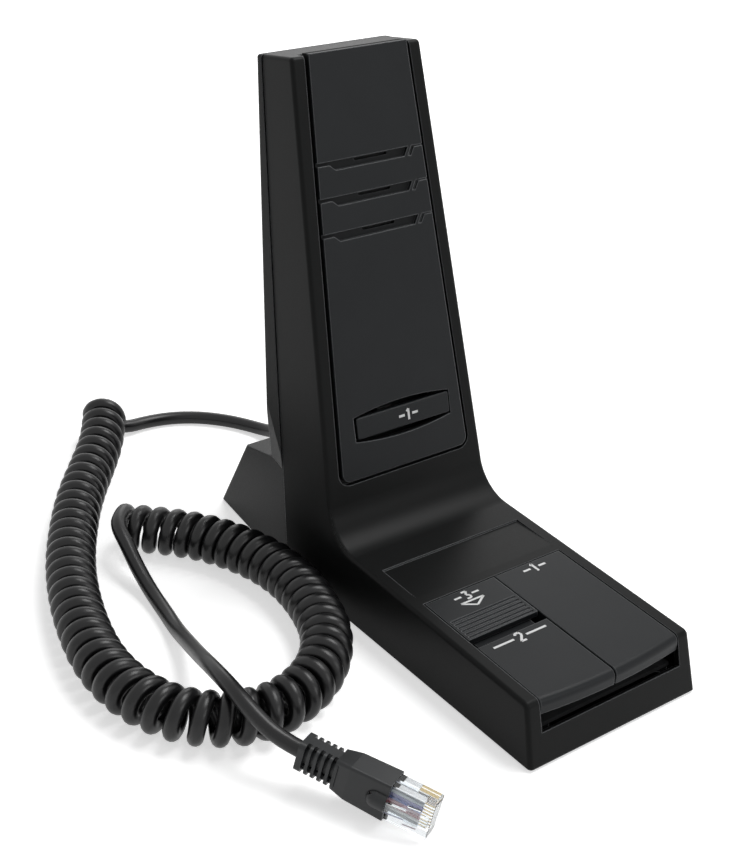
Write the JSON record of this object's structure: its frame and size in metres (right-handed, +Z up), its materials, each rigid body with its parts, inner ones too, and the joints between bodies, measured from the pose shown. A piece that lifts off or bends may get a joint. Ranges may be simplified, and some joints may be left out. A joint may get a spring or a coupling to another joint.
{
  "type": "desk microphone",
  "caption": "Desk microphone: wedge base with push-to-talk, monitor and lock keys, tilted louvred column with a second talk key, and a curly cord ending in a modular plug.",
  "frame": {"origin": "on the table under the middle of the stand, measured without the free cord and its plug", "axes": "+X to the user's right, -Y to the front (user), +Z up"},
  "size_m": [0.1627, 0.2581, 0.177],
  "materials": {
    "shell": "fine matt texture",
    "panel": "fine matt texture",
    "keys": "fine matt texture",
    "frame": "plain moulded",
    "zinc": "zinc plated",
    "steel": "turned",
    "ballast": "rough",
    "rubber": "matt",
    "cord": "satin",
    "board": "solder mask",
    "switch": "plain moulded",
    "plunger": "plain moulded",
    "header": "plain moulded",
    "capsule": "drawn can",
    "cloth": "open weave",
    "boot": "matt",
    "clear": "clear polycarbonate",
    "gold": "gold flashed",
    "wires": "coloured insulation"
  },
  "bodies": {
    "housing": {"front_shell": "shell", "rear_cover": "shell", "front_panel": "panel", "button_frame": "frame", "base_plate": "zinc", "base_screws": "steel", "cover_screws": "steel", "frame_screws": "steel", "board_screws": "steel", "column_board_screws": "steel", "clamp_screws": "steel", "pivot_rod": "steel", "key_pin": "steel", "ptt_spring": "steel", "monitor_spring": "steel", "ballast_weight": "ballast", "rubber_feet": "rubber", "mic_boot": "rubber", "cord_relief": "cord", "cord_inner": "cord", "cord_lead": "cord", "cord_coil": "cord", "cord_tail": "cord", "column_wires": "cord", "mic_wires": "cord", "cord_clamp": "frame", "main_board": "board", "column_board": "board", "ptt_switch": "switch", "monitor_switch": "switch", "column_switch": "switch", "lock_switch": "switch", "cord_header": "header", "mic_capsule": "capsule", "sound_cloth": "cloth", "plug_boot": "boot", "plug_body": "clear", "plug_contacts": "gold", "plug_conductors": "wires"},
    "ptt_key": {"ptt_button": "keys"},
    "monitor_key": {"monitor_button": "keys"},
    "lock": {"lock_slider": "keys", "lock_knob": "frame"},
    "talk_key": {"column_key": "keys"},
    "ptt_tip": {"ptt_plunger": "plunger"},
    "monitor_tip": {"monitor_plunger": "plunger"},
    "column_tip": {"column_plunger": "plunger"},
    "latch": {"plug_latch": "clear"}
  },
  "joints": [
    {"name": "ptt_press", "type": "hinge", "parent": "housing", "child": "ptt_key", "pos_m": [0.014, -0.035, 0.01742], "axis": [1, 0, 0], "range_deg": [0, 3.4], "stiffness_Nm_per_rad": 2, "springref_deg": -1.15, "deforming": ["ptt_spring"]},
    {"name": "monitor_press", "type": "hinge", "parent": "housing", "child": "monitor_key", "pos_m": [-0.014, -0.035, 0.01742], "axis": [1, 0, 0], "range_deg": [0, 3.4], "stiffness_Nm_per_rad": 2, "springref_deg": -1.15, "deforming": ["monitor_spring"]},
    {"name": "lock_slide", "type": "slide", "parent": "housing", "child": "lock", "axis": [0, -1, 0], "range_m": [0, 0.0036]},
    {"name": "talk_key_press", "type": "hinge", "parent": "housing", "child": "talk_key", "pos_m": [0.018, 0.02617, 0.05759], "axis": [0, -0.258, -0.9662], "range_deg": [0, 2.8], "stiffness_Nm_per_rad": 1, "springref_deg": -1.15},
    {"name": "ptt_tip_slide", "type": "slide", "parent": "housing", "child": "ptt_tip", "axis": [0, 0, -1], "range_m": [0, 0.00084]},
    {"name": "monitor_tip_slide", "type": "slide", "parent": "housing", "child": "monitor_tip", "axis": [0, 0, -1], "range_m": [0, 0.00084]},
    {"name": "column_tip_slide", "type": "slide", "parent": "housing", "child": "column_tip", "axis": [0, 0.9662, -0.258], "range_m": [0, 0.00105]},
    {"name": "latch_press", "type": "hinge", "parent": "housing", "child": "latch", "pos_m": [-0.07795, -0.09557, 0.00703], "axis": [-0.1943, 0.0748, -0.9781], "range_deg": [0, 6], "stiffness_Nm_per_rad": 0.1}
  ],
  "couplings": [
    {"joint": "ptt_tip_slide", "follows": "ptt_press", "m_per_rad": 0.014},
    {"joint": "monitor_tip_slide", "follows": "monitor_press", "m_per_rad": 0.014},
    {"joint": "column_tip_slide", "follows": "talk_key_press", "m_per_rad": 0.02}
  ]
}
